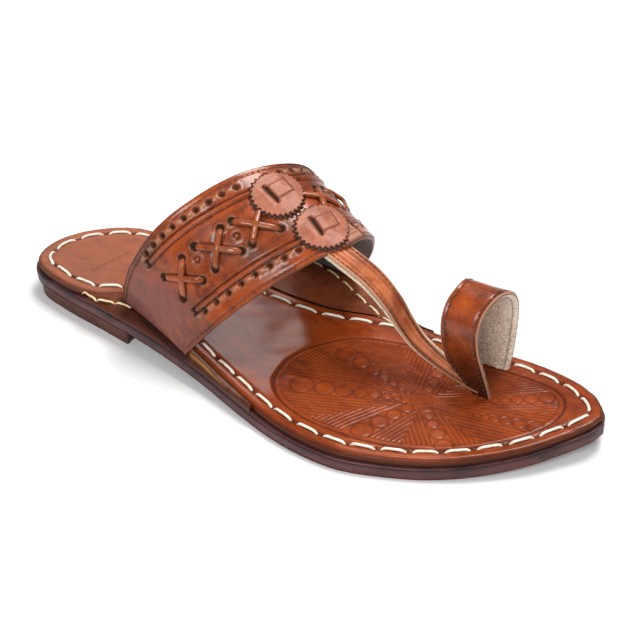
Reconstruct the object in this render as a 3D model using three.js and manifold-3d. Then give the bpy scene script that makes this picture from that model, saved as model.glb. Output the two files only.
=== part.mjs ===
// Kolhapuri sandal, right foot: a leather sole stack with side ears, a wide instep band,
// a toe strap and a big-toe ring. Millimetres, +Z up, +Y towards the toe, +X lateral.
import * as THREE from "three";
import { mergeVertices } from "three/addons/utils/BufferGeometryUtils.js";
import Module from "manifold-3d";

const wasm = await Module();
wasm.setup();

// ---- driving dimensions ----
const GAP = 0.3; // between pieces that meet
const HEEL_LIFT = 7; // height of the heel block
const HEEL_BREAST_Y = 66; // front face of the heel block
const TREAD_START_Y = 150; // the forefoot lies flat on the floor from here
const TREAD_END_Y = 206; // to here
const TOE_SPRING = 7.5; // rise of the toe tip
const HEEL_BACK_Y = 5; // rearmost point of the sole
const TOE_TIP_Y = 271; // foremost point of the sole
const OUTSOLE_THICK = 5.5;
const INSOLE_THICK = 3.6;
const EAR_DROP = 0.4; // the ears lie this much lower than the insole
const EAR_FLANK_Y = 98; // the ears' flank narrows from here
const EAR_FLANK_RUN = 26; // over this length
const EAR_FLANK_MOST = 0.75; // share of an ear's width that its flank can take
const HEEL_SCALE = 0.97; // heel block outline against the outsole's
const BAND_THICK = 2.4;
const STRAP_THICK = 2.6;
const RING_THICK = 2.4;
const SLOT_CLEARANCE = 0.35;
const SLOT_GROW_BAND = 0.02; // slots are longer than the straps are wide by this share
const SLOT_GROW_RING = 0.08;
const FOOT_SHARE = 0.03; // share of a strap's length that is its foot in the sole, at each end
const DISC_RADIUS = 11.3;
const DISC_THICK = 1.8;

// Numbers of faces along and across each sheet.
const MESH = {
  sole: [60, 6],
  heel: [20, 4],
  ear: [36, 4],
  band: [44, 5],
  strap: [28, 3],
  ring: [36, 3],
  disc: [20, 10],
};

// Outer edge of the outsole, which carries the ears at the waist.
const SOLE_EDGE = [
  { y: HEEL_BACK_Y, medial: 8, lateral: 8 },
  { y: 6, medial: 1, lateral: 14.5 },
  { y: 9, medial: -6, lateral: 19 },
  { y: 15, medial: -13.5, lateral: 22.5 },
  { y: 24, medial: -20.8, lateral: 25 },
  { y: 34, medial: -25.5, lateral: 27.3 },
  { y: 48, medial: -29.4, lateral: 29.8 },
  { y: 62, medial: -35.5, lateral: 32.6 },
  { y: 76, medial: -43.5, lateral: 35.2 },
  { y: 92, medial: -50, lateral: 38.5 },
  { y: 112, medial: -52, lateral: 43.3 },
  { y: 134, medial: -48.5, lateral: 50.1 },
  { y: 152, medial: -40, lateral: 55.6 },
  { y: 168, medial: -32.5, lateral: 58.6 },
  { y: 184, medial: -28.8, lateral: 59 },
  { y: 200, medial: -28.4, lateral: 55 },
  { y: 218, medial: -29.2, lateral: 48 },
  { y: 234, medial: -27.8, lateral: 38.8 },
  { y: 250, medial: -23.2, lateral: 26.2 },
  { y: 262, medial: -15.6, lateral: 13 },
  { y: 268.6, medial: -8.6, lateral: 4.4 },
  { y: TOE_TIP_Y, medial: -2.4, lateral: -2.4 },
];

// Edge of the insole, drawn in at the waist where the ears begin.
const INSOLE_EDGE = [
  { y: HEEL_BACK_Y + 1, medial: 8, lateral: 8 },
  { y: 7, medial: 1.6, lateral: 14 },
  { y: 10, medial: -5.2, lateral: 18.5 },
  { y: 16, medial: -13.2, lateral: 21.9 },
  { y: 25, medial: -20.4, lateral: 24.6 },
  { y: 35, medial: -24.6, lateral: 26.4 },
  { y: 47, medial: -25.6, lateral: 25.4 },
  { y: 58, medial: -23.4, lateral: 20.4 },
  { y: 74, medial: -20.4, lateral: 24.2 },
  { y: 92, medial: -18.6, lateral: 31.4 },
  { y: 112, medial: -18.2, lateral: 39.2 },
  { y: 134, medial: -20.2, lateral: 47.6 },
  { y: 152, medial: -24.8, lateral: 54.1 },
  { y: 168, medial: -27.6, lateral: 57.4 },
  { y: 184, medial: -27.4, lateral: 57.9 },
  { y: 200, medial: -27.3, lateral: 54 },
  { y: 218, medial: -28.1, lateral: 47 },
  { y: 234, medial: -26.8, lateral: 37.8 },
  { y: 250, medial: -22.2, lateral: 25.2 },
  { y: 261.2, medial: -15.2, lateral: 12.6 },
  { y: 267.6, medial: -8.2, lateral: 4 },
  { y: TOE_TIP_Y - 1, medial: -2.4, lateral: -2.4 },
];

// The ears lie between insole and sole edge; their outer flank slopes down by "flank".
const EARS = {
  lateral: { sign: 1, from: 44, to: 140, rearFlank: 5, frontFlank: 1 },
  medial: { sign: -1, from: 44, to: 182, rearFlank: 5, frontFlank: 1.5 },
};

// Outer face of the instep band, a row for each section from the lateral to the medial side:
// a point on its rear edge and one on its front edge.
const BAND = [
  { rearX: 24.1, rearY: 58.6, rearZ: 15.6, frontX: 39.4, frontY: 101.2, frontZ: 12.8 },
  { rearX: 28.2, rearY: 64.3, rearZ: 30.6, frontX: 37.1, frontY: 110.8, frontZ: 24.6 },
  { rearX: 29.4, rearY: 69.3, rearZ: 41.6, frontX: 34.3, frontY: 118.4, frontZ: 33.3 },
  { rearX: 27.5, rearY: 76.8, rearZ: 55.1, frontX: 28.3, frontY: 128.9, frontZ: 43.9 },
  { rearX: 21.7, rearY: 84.5, rearZ: 65.4, frontX: 20.8, frontY: 138.4, frontZ: 52 },
  { rearX: 12.7, rearY: 92.4, rearZ: 72.5, frontX: 12.1, frontY: 146.6, frontZ: 57.5 },
  { rearX: 3, rearY: 98.5, rearZ: 76.2, frontX: 4.6, frontY: 152.2, frontZ: 60 },
  { rearX: -7.5, rearY: 105, rearZ: 78, frontX: -3, frontY: 156.3, frontZ: 60.7 },
  { rearX: -19, rearY: 112, rearZ: 77, frontX: -12, frontY: 158.2, frontZ: 59.4 },
  { rearX: -31, rearY: 116.6, rearZ: 71.5, frontX: -21, frontY: 157.4, frontZ: 53.4 },
  { rearX: -40.5, rearY: 117, rearZ: 62, frontX: -28.5, frontY: 154, frontZ: 45 },
  { rearX: -46, rearY: 112, rearZ: 49, frontX: -35, frontY: 149, frontZ: 33.6 },
  { rearX: -48, rearY: 101.5, rearZ: 32, frontX: -41, frontY: 142, frontZ: 22 },
  { rearX: -47.5, rearY: 90, rearZ: 14.4, frontX: -46, frontY: 134, frontZ: 11.2 },
];

// Centre line of the toe strap's upper face, its width there and its turn about its own length.
const STRAP = [
  { x: -1, y: 147, z: 60.6, width: 12, turn: 0 },
  { x: 0.5, y: 156.5, z: 57.8, width: 12, turn: 2 },
  { x: 1, y: 169.6, z: 51, width: 11, turn: 8 },
  { x: 1, y: 178.6, z: 42, width: 9.5, turn: 20 },
  { x: 1, y: 184.5, z: 33, width: 8, turn: 34 },
  { x: 1.2, y: 192, z: 24.8, width: 7, turn: 46 },
  { x: 1.6, y: 205.5, z: 17.6, width: 6, turn: 58 },
  { x: 2.6, y: 219, z: 14, width: 5.5, turn: 66 },
];

// Outer face of the toe ring, a row for each section from its lateral to its medial foot.
const RING = [
  { x: 2.5, z: 9.4, rear: 216, front: 223.5 },
  { x: 4, z: 16, rear: 211.5, front: 222.8 },
  { x: 5.8, z: 25, rear: 205.5, front: 221.4 },
  { x: 7, z: 35, rear: 203.2, front: 219.4 },
  { x: 6.2, z: 45, rear: 202.4, front: 218.8 },
  { x: 1.6, z: 52, rear: 202.6, front: 219.6 },
  { x: -6.5, z: 55.6, rear: 204, front: 222 },
  { x: -14.5, z: 53, rear: 203.8, front: 224 },
  { x: -20, z: 45.5, rear: 202.8, front: 224.4 },
  { x: -22.6, z: 35, rear: 201.8, front: 223.6 },
  { x: -23, z: 25, rear: 201.2, front: 222.8 },
  { x: -21.6, z: 16, rear: 201.8, front: 222.4 },
  { x: -19.8, z: 9.4, rear: 203, front: 222 },
];

// Centres of the two pinked discs, as shares along the band (0 at its lateral foot) and across
// it (0 at its rear edge).
const DISCS = {
  rosette_rear: { along: 0.5298, across: 0.335 },
  rosette_front: { along: 0.5272, across: 0.773 },
};

// ---- curves and surfaces ----
const smooth = (t) => {
  const c = THREE.MathUtils.clamp(t, 0, 1);
  return c * c * (3 - 2 * c);
};

// Height of the outsole's underside: heel height, arch, flat tread and toe spring.
const underside = (y) => {
  const heel = HEEL_LIFT * (1 - smooth((y - HEEL_BREAST_Y) / (TREAD_START_Y - HEEL_BREAST_Y)));
  const toe = Math.max(0, (y - TREAD_END_Y) / (TOE_TIP_Y - TREAD_END_Y));
  return heel + TOE_SPRING * toe * toe;
};
const outsoleTop = (y) => underside(y) + OUTSOLE_THICK;
const insoleTop = (y) => outsoleTop(y) + GAP + INSOLE_THICK;

// A smooth curve through three columns of a table, as x, y and z.
const curveOf = (rows, a, b, c) =>
  new THREE.CatmullRomCurve3(
    rows.map((r) => new THREE.Vector3(r[a], r[b], r[c])),
    false,
    "catmullrom",
  );
const soleEdge = curveOf(SOLE_EDGE, "medial", "y", "lateral");
const insoleEdge = curveOf(INSOLE_EDGE, "medial", "y", "lateral");

// The two edges of an outline at a given distance from the heel.
const edgesAt = (curve, y) => {
  let low = 0;
  let high = 1;
  for (let step = 0; step < 30; step++) {
    const middle = (low + high) / 2;
    if (curve.getPoint(middle).y < y) low = middle;
    else high = middle;
  }
  const p = curve.getPoint(low);
  return { medial: p.x, lateral: p.z };
};

// A closed solid between two sheets, each a function of (u, v) in 0..1 that gives a point.
// v turned towards u, right-handed, points out of the "top" sheet.
const slab = (countU, countV, top, bottom) => {
  const points = [];
  const keys = new Map();
  const faces = [];
  const add = (p) => {
    const key = [p.x, p.y, p.z].map((c) => Math.round(c * 1e3)).join();
    if (!keys.has(key)) {
      keys.set(key, points.length / 3);
      points.push(p.x, p.y, p.z);
    }
    return keys.get(key);
  };
  const grid = (sheet) => {
    const ids = [];
    for (let i = 0; i <= countU; i++) {
      ids.push([]);
      for (let j = 0; j <= countV; j++) ids[i].push(add(sheet(i / countU, j / countV)));
    }
    return ids;
  };
  const face = (a, b, c) => {
    if (a !== b && b !== c && c !== a) faces.push(a, b, c);
  };
  const quad = (a, b, c, d) => {
    face(a, b, c);
    face(a, c, d);
  };
  const t = grid(top);
  const b = grid(bottom);
  for (let i = 0; i < countU; i++)
    for (let j = 0; j < countV; j++) {
      quad(t[i][j], t[i][j + 1], t[i + 1][j + 1], t[i + 1][j]);
      quad(b[i][j], b[i + 1][j], b[i + 1][j + 1], b[i][j + 1]);
    }
  for (let i = 0; i < countU; i++) {
    quad(t[i][0], t[i + 1][0], b[i + 1][0], b[i][0]);
    quad(t[i][countV], b[i][countV], b[i + 1][countV], t[i + 1][countV]);
  }
  for (let j = 0; j < countV; j++) {
    quad(t[0][j], b[0][j], b[0][j + 1], t[0][j + 1]);
    quad(t[countU][j], t[countU][j + 1], b[countU][j + 1], b[countU][j]);
  }
  const geometry = new THREE.BufferGeometry();
  geometry.setAttribute("position", new THREE.Float32BufferAttribute(points, 3));
  geometry.setIndex(faces);
  return geometry;
};

// ---- booleans ----
const solidOf = (geometry) => {
  const bare = new THREE.BufferGeometry();
  bare.setAttribute("position", geometry.getAttribute("position"));
  bare.setIndex(geometry.getIndex());
  const merged = mergeVertices(bare, 1e-4);
  return new wasm.Manifold(
    new wasm.Mesh({
      numProp: 3,
      vertProperties: new Float32Array(merged.attributes.position.array),
      triVerts: new Uint32Array(merged.index.array),
    }),
  );
};
const geometryOf = (solid) => {
  const mesh = solid.getMesh();
  const geometry = new THREE.BufferGeometry();
  geometry.setAttribute("position", new THREE.BufferAttribute(mesh.vertProperties, 3));
  geometry.setIndex(new THREE.BufferAttribute(mesh.triVerts, 1));
  return geometry;
};

// ---- sole stack ----
// A plate between two outline edges, with its top and bottom heights as functions of y.
const plate = (curve, low, high) => {
  const sheet = (height) => (u, v) => {
    const p = curve.getPoint(u);
    return new THREE.Vector3(THREE.MathUtils.lerp(p.x, p.z, v), p.y, height(p.y));
  };
  return slab(...MESH.sole, sheet(high), sheet(low));
};

const outsole = () => plate(soleEdge, underside, outsoleTop);
const insole = () => plate(insoleEdge, (y) => outsoleTop(y) + GAP, insoleTop);

const heelLift = () => {
  const sheet = (z) => (u, v) => {
    const y = THREE.MathUtils.lerp(HEEL_BACK_Y, HEEL_BREAST_Y, 1 - Math.cos((Math.PI * u) / 2));
    const { medial, lateral } = edgesAt(soleEdge, y);
    const inner = Math.max(medial, -lateral);
    const centre = (inner + lateral) / 2;
    const x = centre + (THREE.MathUtils.lerp(inner, lateral, v) - centre) * HEEL_SCALE;
    return new THREE.Vector3(x, HEEL_BREAST_Y - (HEEL_BREAST_Y - y) * HEEL_SCALE, z);
  };
  return slab(...MESH.heel, sheet(HEEL_LIFT - GAP), sheet(0));
};

const ear = ({ sign, from, to, rearFlank, frontFlank }) => {
  const side = sign > 0 ? "lateral" : "medial";
  const sheet = (high) => (u, v) => {
    const y = THREE.MathUtils.lerp(from, to, u);
    const inner = edgesAt(insoleEdge, y)[side] + sign * GAP;
    const outer = edgesAt(soleEdge, y)[side];
    const forward = smooth((y - EAR_FLANK_Y) / EAR_FLANK_RUN);
    const flank = THREE.MathUtils.lerp(rearFlank, frontFlank, forward);
    const room = Math.abs(outer - inner);
    const brim = high ? outer - sign * Math.min(flank, EAR_FLANK_MOST * room) : outer;
    const z = high ? insoleTop(y) - EAR_DROP : outsoleTop(y) + GAP;
    const outward = sign > 0 ? v : 1 - v;
    return new THREE.Vector3(THREE.MathUtils.lerp(inner, brim, outward), y, z);
  };
  return slab(...MESH.ear, sheet(true), sheet(false));
};

// ---- upper ----
const bandRear = curveOf(BAND, "rearX", "rearY", "rearZ");
const bandFront = curveOf(BAND, "frontX", "frontY", "frontZ");

// Point on the band's outer face: u runs from the lateral to the medial foot, v from rear to front.
const bandFace = (u, v) => bandRear.getPoint(u).lerp(bandFront.getPoint(u), v);

// Outward normal of a face given as a function of (u, v).
const normalOf = (face, u, v) => {
  const step = 1e-3;
  const u0 = Math.max(0, u - step);
  const u1 = Math.min(1, u + step);
  const v0 = Math.max(0, v - step);
  const v1 = Math.min(1, v + step);
  const alongU = face(u1, v).sub(face(u0, v));
  const alongV = face(u, v1).sub(face(u, v0));
  return alongV.cross(alongU).normalize();
};

// A band's face moved outwards, with its two feet carried straight down into the sole.
const bandSheet = (offset, grow, depth) => (u, v) => {
  const stretched = 0.5 + (v - 0.5) * (1 + grow);
  const inside = THREE.MathUtils.clamp((u - FOOT_SHARE) / (1 - 2 * FOOT_SHARE), 0, 1);
  const rear = bandRear.getPoint(inside);
  const front = bandFront.getPoint(inside);
  const p = rear.lerp(front, stretched);
  const n = normalOf(bandFace, inside, 0.5);
  p.addScaledVector(n, offset);
  if (u === 0 || u === 1) p.z = outsoleTop(p.y) + depth;
  return p;
};
const band = () => slab(...MESH.band, bandSheet(0, 0, GAP), bandSheet(-BAND_THICK, 0, GAP));
const bandCutter = () =>
  slab(
    ...MESH.band,
    bandSheet(SLOT_CLEARANCE, SLOT_GROW_BAND, 0),
    bandSheet(-BAND_THICK - SLOT_CLEARANCE, SLOT_GROW_BAND, 0),
  );

const strapLine = curveOf(STRAP, "x", "y", "z");
const strapShape = curveOf(STRAP, "width", "turn", "turn");
const strap = () => {
  const sheet = (offset) => (u, v) => {
    const p = strapLine.getPoint(u);
    const { x: width, y: turn } = strapShape.getPoint(u);
    const along = strapLine.getTangent(u);
    const across = new THREE.Vector3(1, 0, 0).applyAxisAngle(
      along,
      THREE.MathUtils.degToRad(turn),
    );
    across.addScaledVector(along, -across.dot(along)).normalize();
    const up = across.clone().cross(along);
    return p.addScaledVector(across, (v - 0.5) * width).addScaledVector(up, offset);
  };
  return slab(...MESH.strap, sheet(0), sheet(-STRAP_THICK));
};

const ringRear = curveOf(RING, "x", "rear", "z");
const ringFront = curveOf(RING, "x", "front", "z");
const ringFace = (u, v) => ringRear.getPoint(u).lerp(ringFront.getPoint(u), v);
const ringSheet = (offset, grow, depth) => (u, v) => {
  const inside = THREE.MathUtils.clamp((u - FOOT_SHARE) / (1 - 2 * FOOT_SHARE), 0, 1);
  const p = ringFace(inside, 0.5 + (v - 0.5) * (1 + grow));
  p.addScaledVector(normalOf(ringFace, inside, 0.5), offset);
  if (u === 0 || u === 1) p.z = outsoleTop(p.y) + depth;
  return p;
};
const ring = () => slab(...MESH.ring, ringSheet(0, 0, GAP), ringSheet(-RING_THICK, 0, GAP));
const ringCutter = () =>
  slab(
    ...MESH.ring,
    ringSheet(SLOT_CLEARANCE, SLOT_GROW_RING, 0),
    ringSheet(-RING_THICK - SLOT_CLEARANCE, SLOT_GROW_RING, 0),
  );

// ---- rosettes ----
// A disc laid on the band's face: lengths are measured square to each other on that face.
const disc = ({ along, across }) => {
  const step = 0.01;
  const centre = bandFace(along, across);
  const perU = bandFace(along + step, across).sub(centre).divideScalar(step);
  const perV = bandFace(along, across + step).sub(centre).divideScalar(step);
  const forwardUnit = perV.clone().normalize();
  const sideUnit = perU.clone().addScaledVector(forwardUnit, -perU.dot(forwardUnit)).normalize();
  const sheet = (height) => (u, v) => {
    const angle = Math.PI * u;
    const forward = -DISC_RADIUS * Math.cos(angle);
    const sideways = -DISC_RADIUS * Math.sin(angle) * (2 * v - 1);
    const du = sideways / perU.dot(sideUnit);
    const dv = (forward - du * perU.dot(forwardUnit)) / perV.length();
    const normal = normalOf(bandFace, along + du, across);
    return bandFace(along + du, across + dv).addScaledVector(normal, GAP + height);
  };
  return slab(...MESH.disc, sheet(DISC_THICK), sheet(0));
};

// ---- assembly ----
const leather = (color, roughness) =>
  new THREE.MeshStandardMaterial({ color, roughness, metalness: 0 });
const tan = leather(0xa85a2c, 0.35);
const darkEdge = leather(0x3a211c, 0.5);

const pieces = [];
const place = (name, geometry, material) => {
  const mesh = new THREE.Mesh(geometry, material);
  mesh.name = name;
  pieces.push(mesh);
};

const bandSlot = solidOf(bandCutter());
const ringSlots = solidOf(ringCutter());
place("outsole", outsole(), darkEdge);
place("heel_lift", heelLift(), leather(0x5a2a1e, 0.55));
place("insole", geometryOf(solidOf(insole()).subtract(bandSlot).subtract(ringSlots)), tan);
for (const [side, shape] of Object.entries(EARS))
  place(`ear_${side}`, geometryOf(solidOf(ear(shape)).subtract(bandSlot)), tan);
place("upper", geometryOf(solidOf(band()).add(solidOf(strap())).add(solidOf(ring()))), tan);
for (const [name, shape] of Object.entries(DISCS)) place(name, disc(shape), tan);

const sandal = new THREE.Group();
sandal.add(...pieces);
// The origin is on the floor under the middle of the sandal.
const box = new THREE.Box3().setFromObject(sandal);
sandal.position.set(-(box.min.x + box.max.x) / 2, -(box.min.y + box.max.y) / 2, -box.min.z);

export default sandal;
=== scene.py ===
import math

import bpy
import numpy as np
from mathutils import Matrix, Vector


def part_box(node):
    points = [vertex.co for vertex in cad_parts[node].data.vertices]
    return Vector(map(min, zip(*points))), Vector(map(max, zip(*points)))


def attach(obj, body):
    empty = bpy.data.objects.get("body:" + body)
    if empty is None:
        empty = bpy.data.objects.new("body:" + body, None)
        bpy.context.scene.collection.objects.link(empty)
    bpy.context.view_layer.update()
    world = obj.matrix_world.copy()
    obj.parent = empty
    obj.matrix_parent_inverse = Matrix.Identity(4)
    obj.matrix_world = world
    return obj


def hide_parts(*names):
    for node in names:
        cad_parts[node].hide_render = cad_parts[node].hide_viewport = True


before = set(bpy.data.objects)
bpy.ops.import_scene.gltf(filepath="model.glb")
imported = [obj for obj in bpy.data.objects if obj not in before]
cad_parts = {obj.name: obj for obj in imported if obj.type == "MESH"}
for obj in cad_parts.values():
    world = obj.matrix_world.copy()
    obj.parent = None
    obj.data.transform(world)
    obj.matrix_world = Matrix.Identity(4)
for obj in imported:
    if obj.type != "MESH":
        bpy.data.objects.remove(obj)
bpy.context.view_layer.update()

SEED = 7
RNG = np.random.default_rng(SEED)

# ---- driving sizes, as in the CAD ----
GAP = 0.3
HEEL_LIFT = 7.0
HEEL_BREAST_Y = 66.0
TREAD_START_Y = 150.0
TREAD_END_Y = 206.0
TOE_SPRING = 7.5
HEEL_BACK_Y = 5.0
TOE_TIP_Y = 271.0
OUTSOLE_THICK = 5.5
INSOLE_THICK = 3.6
EAR_DROP = 0.4
HEEL_SCALE = 0.97
BAND_THICK = 2.4
STRAP_THICK = 2.6
RING_THICK = 2.4
DISC_RADIUS = 11.3

# columns: y, medial x, lateral x
SOLE_EDGE = [
    (HEEL_BACK_Y, 8, 8), (6, 1, 14.5), (9, -6, 19), (15, -13.5, 22.5), (24, -20.8, 25),
    (34, -25.5, 27.3), (48, -29.4, 29.8), (62, -35.5, 32.6), (76, -43.5, 35.2), (92, -50, 38.5),
    (112, -52, 43.3), (134, -48.5, 50.1), (152, -40, 55.6), (168, -32.5, 58.6), (184, -28.8, 59),
    (200, -28.4, 55), (218, -29.2, 48), (234, -27.8, 38.8), (250, -23.2, 26.2), (262, -15.6, 13),
    (268.6, -8.6, 4.4), (TOE_TIP_Y, -2.4, -2.4),
]
INSOLE_EDGE = [
    (HEEL_BACK_Y + 1, 8, 8), (7, 1.6, 14), (10, -5.2, 18.5), (16, -13.2, 21.9), (25, -20.4, 24.6),
    (35, -24.6, 26.4), (47, -25.6, 25.4), (58, -23.4, 20.4), (74, -20.4, 24.2), (92, -18.6, 31.4),
    (112, -18.2, 39.2), (134, -20.2, 47.6), (152, -24.8, 54.1), (168, -27.6, 57.4),
    (184, -27.4, 57.9), (200, -27.3, 54), (218, -28.1, 47), (234, -26.8, 37.8), (250, -22.2, 25.2),
    (261.2, -15.2, 12.6), (267.6, -8.2, 4), (TOE_TIP_Y - 1, -2.4, -2.4),
]
# rear edge x, y, z and front edge x, y, z of the band, from its lateral to its medial foot
BAND = np.array([
    (24.1, 58.6, 15.6, 39.4, 101.2, 12.8), (28.2, 64.3, 30.6, 37.1, 110.8, 24.6),
    (29.4, 69.3, 41.6, 34.3, 118.4, 33.3), (27.5, 76.8, 55.1, 28.3, 128.9, 43.9),
    (21.7, 84.5, 65.4, 20.8, 138.4, 52), (12.7, 92.4, 72.5, 12.1, 146.6, 57.5),
    (3, 98.5, 76.2, 4.6, 152.2, 60), (-7.5, 105, 78, -3, 156.3, 60.7),
    (-19, 112, 77, -12, 158.2, 59.4), (-31, 116.6, 71.5, -21, 157.4, 53.4),
    (-40.5, 117, 62, -28.5, 154, 45), (-46, 112, 49, -35, 149, 33.6),
    (-48, 101.5, 32, -41, 142, 22), (-47.5, 90, 14.4, -46, 134, 11.2),
])
# centre line x, y, z, width and turn of the toe strap
STRAP = np.array([
    (-1, 147, 60.6, 12, 0), (0.5, 156.5, 57.8, 12, 2), (1, 169.6, 51, 11, 8),
    (1, 178.6, 42, 9.5, 20), (1, 184.5, 33, 8, 34), (1.2, 192, 24.8, 7, 46),
    (1.6, 205.5, 17.6, 6, 58), (2.6, 219, 14, 5.5, 66),
])
# x, z, rear y and front y of the toe ring, from its lateral to its medial foot
RING = np.array([
    (2.5, 9.4, 216, 223.5), (4, 16, 211.5, 222.8), (5.8, 25, 205.5, 221.4), (7, 35, 203.2, 219.4),
    (6.2, 45, 202.4, 218.8), (1.6, 52, 202.6, 219.6), (-6.5, 55.6, 204, 222),
    (-14.5, 53, 203.8, 224), (-20, 45.5, 202.8, 224.4), (-22.6, 35, 201.8, 223.6),
    (-23, 25, 201.2, 222.8), (-21.6, 16, 201.8, 222.4), (-19.8, 9.4, 203, 222),
])


# ---- curves and small numeric helpers ----
def shares(count):
    return np.linspace(0, 1, count)


def stacked(*columns):
    """Points or tones from columns that broadcast together."""
    return np.stack(np.broadcast_arrays(*columns), -1)


def spread(start, end, share):
    """Rows that run from start to end by the given shares."""
    return start[:, None] + (end - start)[:, None] * share[None]


def smooth(t):
    """A soft step from 0 to 1."""
    t = np.clip(t, 0, 1)
    return t * t * (3 - 2 * t)


def bump(distance, width):
    """A soft hump of height 1 and the given half width."""
    return np.exp(-((distance / width) ** 2))


def curve(rows, t):
    """Catmull-Rom curve through the rows, t from 0 to 1."""
    rows = np.asarray(rows, float)
    rows = np.vstack([2 * rows[0] - rows[1], rows, 2 * rows[-1] - rows[-2]])
    spans = len(rows) - 3
    s = np.clip(np.asarray(t, float), 0, 1) * spans
    i = np.minimum(np.floor(s).astype(int), spans - 1)
    w = (s - i)[..., None]
    before, a, b, after = rows[i], rows[i + 1], rows[i + 2], rows[i + 3]
    ta, tb = (b - before) / 2, (after - a) / 2
    return a + ta * w + (-3 * a + 3 * b - 2 * ta - tb) * w**2 + (2 * a - 2 * b + ta + tb) * w**3


def unit(v):
    return v / np.maximum(np.linalg.norm(v, axis=-1, keepdims=True), 1e-9)


def lengths(path):
    """Distance of each point of a path from the path's start, measured along it."""
    return np.r_[0, np.cumsum(np.linalg.norm(np.diff(path, axis=0), axis=1))]


def interpolated(rows, s, at):
    """Rows that lie at the distances s, read at other distances."""
    return np.column_stack([np.interp(at, s, c) for c in rows.T])


def resample(path):
    """Points of a path about one millimetre apart."""
    s = lengths(path)
    return interpolated(path, s, np.linspace(0, s[-1], max(2, int(round(s[-1])) + 1)))


def underside(y):
    heel = HEEL_LIFT * (1 - smooth((y - HEEL_BREAST_Y) / (TREAD_START_Y - HEEL_BREAST_Y)))
    toe = np.maximum(0, (y - TREAD_END_Y) / (TOE_TIP_Y - TREAD_END_Y))
    return heel + TOE_SPRING * toe * toe


def outsole_top(y):
    return underside(y) + OUTSOLE_THICK


def insole_top(y):
    return outsole_top(y) + GAP + INSOLE_THICK


EDGE_SHARES = shares(1200)
SOLE_LINE = curve(SOLE_EDGE, EDGE_SHARES)
INSOLE_LINE = curve(INSOLE_EDGE, EDGE_SHARES)
SOLE_CORNER = np.array(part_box("outsole")[0]) * 1000
SHIFT = np.array([SOLE_CORNER[0] - SOLE_LINE[:, 1].min(), SOLE_CORNER[1] - HEEL_BACK_Y, 0.0])


def placed(points):
    """Points in metres in the frame."""
    return (np.asarray(points, float) + SHIFT) * 0.001


def edges_at(line, y):
    """Medial and lateral x of an outline."""
    return np.interp(y, line[:, 0], line[:, 1]), np.interp(y, line[:, 0], line[:, 2])


def loop_of(line):
    """Closed outline as (x, y), from the heel along the medial side to the toe and back."""
    medial = line[:, [1, 0]]
    lateral = line[::-1][:, [2, 0]]
    return resample(np.vstack([medial, lateral[1:]]))


BLOCK = 20000


def distance_to(path, points):
    """Distance of every point from the nearest point of a path, a block of points at a time."""
    flat = points.reshape(-1, points.shape[-1])
    out = np.empty(len(flat))
    for start in range(0, len(flat), BLOCK):
        part = flat[start:start + BLOCK]
        out[start:start + BLOCK] = np.sqrt(((part[:, None] - path[None]) ** 2).sum(-1).min(1))
    return out.reshape(points.shape[:-1])


# ---- soft noise for hand-made unevenness ----
WAVE_COUNT = 10
WAVE_RATE = 2.2
WAVE_SUM = 3.2  # brings the sum of the waves to about unit height
WAVES = RNG.normal(size=(WAVE_COUNT, 3))
PHASES = RNG.uniform(0, 2 * math.pi, WAVE_COUNT)


def uneven(points, size):
    """Smooth noise of about unit height that changes over the given size, in millimetres."""
    waves = WAVES * (WAVE_RATE / size)
    return np.sin(points @ waves.T + PHASES).sum(-1) / WAVE_SUM


# ---- meshes ----
def in_scene(name, data):
    piece = bpy.data.objects.new(name, data)
    bpy.context.scene.collection.objects.link(piece)
    return piece


class Parts:
    """Collects patches of points, faces and tones into one mesh piece."""

    def __init__(self):
        self.points, self.faces, self.tones, self.count = [], [], [], 0

    def grid(self, points, tone=0.0, wrap=False, flip=False):
        """Adds rows of points joined by quads; the tone is one for all or one for each point."""
        rows, columns = points.shape[:2]
        ids = np.arange(rows * columns).reshape(rows, columns) + self.count
        if wrap:
            ids = np.column_stack([ids, ids[:, :1]])
        a, b, c, d = ids[:-1, :-1], ids[1:, :-1], ids[1:, 1:], ids[:-1, 1:]
        self.points.append(points.reshape(-1, 3))
        self.tones.append(np.broadcast_to(tone, (rows, columns, 3)).reshape(-1, 3))
        self.faces.append(np.stack([a, d, c, b] if flip else [a, b, c, d], -1).reshape(-1, 4))
        self.count += rows * columns

    def build(self, name, material, sharp=50):
        """The piece, attached to the root body; edges sharper than the angle, in degrees, stay
        creased.
        """
        points, tone = placed(np.vstack(self.points)), np.vstack(self.tones)
        mesh = bpy.data.meshes.new(name)
        mesh.from_pydata(points.tolist(), [], np.vstack(self.faces).tolist())
        mesh.validate()
        mesh.polygons.foreach_set("use_smooth", [True] * len(mesh.polygons))
        mesh.set_sharp_from_angle(angle=math.radians(sharp))
        layer = mesh.color_attributes.new("tone", "FLOAT_COLOR", "POINT")
        colours = np.column_stack([tone, np.ones(len(tone))]).astype("f")
        layer.data.foreach_set("color", colours.ravel())
        mesh.materials.append(material)
        piece = in_scene(name, mesh)
        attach(piece, "root")
        return piece


def tones(dark, pale=0.0, matte_and_sheen=0.0):
    """How dark, how pale and how matte each point is, from 0 to 1: dark stands for darker leather
    and painted shade, pale for wear and painted highlights, and matte also lays on a leather's
    painted sheen colour.
    """
    return np.clip(stacked(dark, pale, matte_and_sheen), 0, 1)


# a sheet's place(u, v, lift) gives points: u along it, v across it from 0 to 1, lift above it
def width_of(place, u):
    return np.linalg.norm(place(u, 1.0, 0.0) - place(u, 0.0, 0.0), axis=-1)


def normals_of(place, u, v):
    return unit(place(u, v, 1.0) - place(u, v, 0.0))


def middle_normal(face, u, step=2e-3):
    """Normal of a strip at the middle of its width; face(u, v) gives points of its outer face."""
    half = np.full(u.shape, 0.5)
    before, after = np.maximum(u - step, 0), np.minimum(u + step, 1)
    return unit(np.cross(face(u, half + 0.01) - face(u, half - 0.01),
                         face(after, half) - face(before, half)))


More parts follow.
